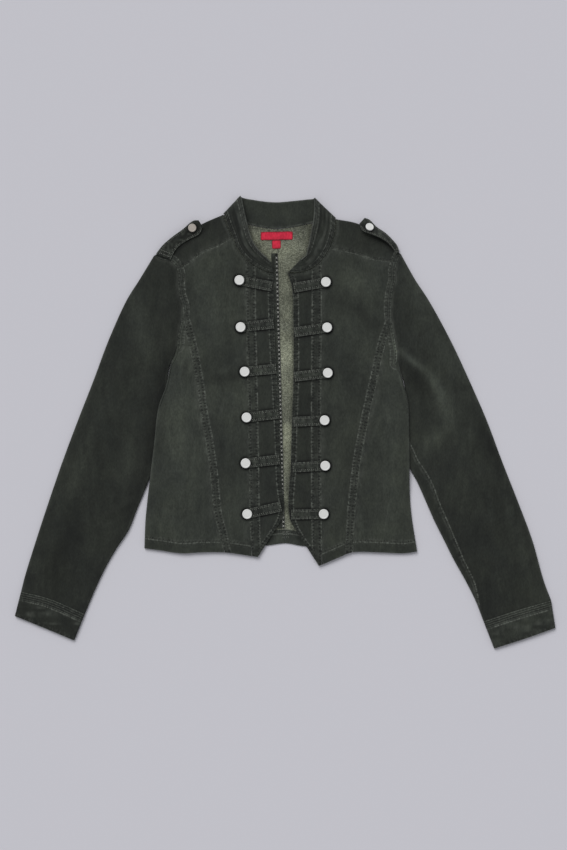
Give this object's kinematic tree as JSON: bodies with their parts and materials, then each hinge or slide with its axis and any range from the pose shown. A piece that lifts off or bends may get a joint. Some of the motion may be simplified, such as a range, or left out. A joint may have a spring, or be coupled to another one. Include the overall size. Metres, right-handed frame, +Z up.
{
  "type": "military jacket",
  "caption": "Cropped military jacket laid flat, open at the front, with a stand collar, epaulettes, tabbed button bands and long cuffed sleeves.",
  "frame": {"origin": "centre of the bounding box in plan, at the surface the jacket lies on", "axes": "+Z up from the surface, +Y towards the collar, +X towards the wearer's left sleeve"},
  "size_m": [0.864, 0.7227, 0.0218],
  "materials": {
    "washed_twill": "washed dark olive-black cotton twill, matt, paler at seams and edges",
    "twill_inside": "wrong side of the same twill, grey-green and speckled, matt; the back's outer face is the dark right side",
    "button_metal": "silver-white metal, brushed face with a bright rim",
    "label_red": "plain red satin-woven tape"
  },
  "bodies": {
    "root": {"back_left": "twill_inside", "back_right": "twill_inside", "button_epaulette_left": "button_metal", "button_epaulette_right": "button_metal", "button_left_1": "button_metal", "button_left_2": "button_metal", "button_left_3": "button_metal", "button_left_4": "button_metal", "button_left_5": "button_metal", "button_left_6": "button_metal", "button_right_1": "button_metal", "button_right_2": "button_metal", "button_right_3": "button_metal", "button_right_4": "button_metal", "button_right_5": "button_metal", "button_right_6": "button_metal", "collar": "washed_twill", "cuff_left": "washed_twill", "cuff_right": "washed_twill", "epaulette_left": "washed_twill", "epaulette_right": "washed_twill", "front_band_left": "washed_twill", "front_band_right": "washed_twill", "front_centre_left": "washed_twill", "front_centre_right": "washed_twill", "front_side_left": "washed_twill", "front_side_right": "washed_twill", "label": "label_red", "size_tab": "label_red", "sleeve_left": "washed_twill", "sleeve_right": "washed_twill", "tab_left_1": "washed_twill", "tab_left_2": "washed_twill", "tab_left_3": "washed_twill", "tab_left_4": "washed_twill", "tab_left_5": "washed_twill", "tab_left_6": "washed_twill", "tab_right_1": "washed_twill", "tab_right_2": "washed_twill", "tab_right_3": "washed_twill", "tab_right_4": "washed_twill", "tab_right_5": "washed_twill", "tab_right_6": "washed_twill", "yoke_left": "washed_twill", "yoke_right": "washed_twill"}
  },
  "joints": []
}
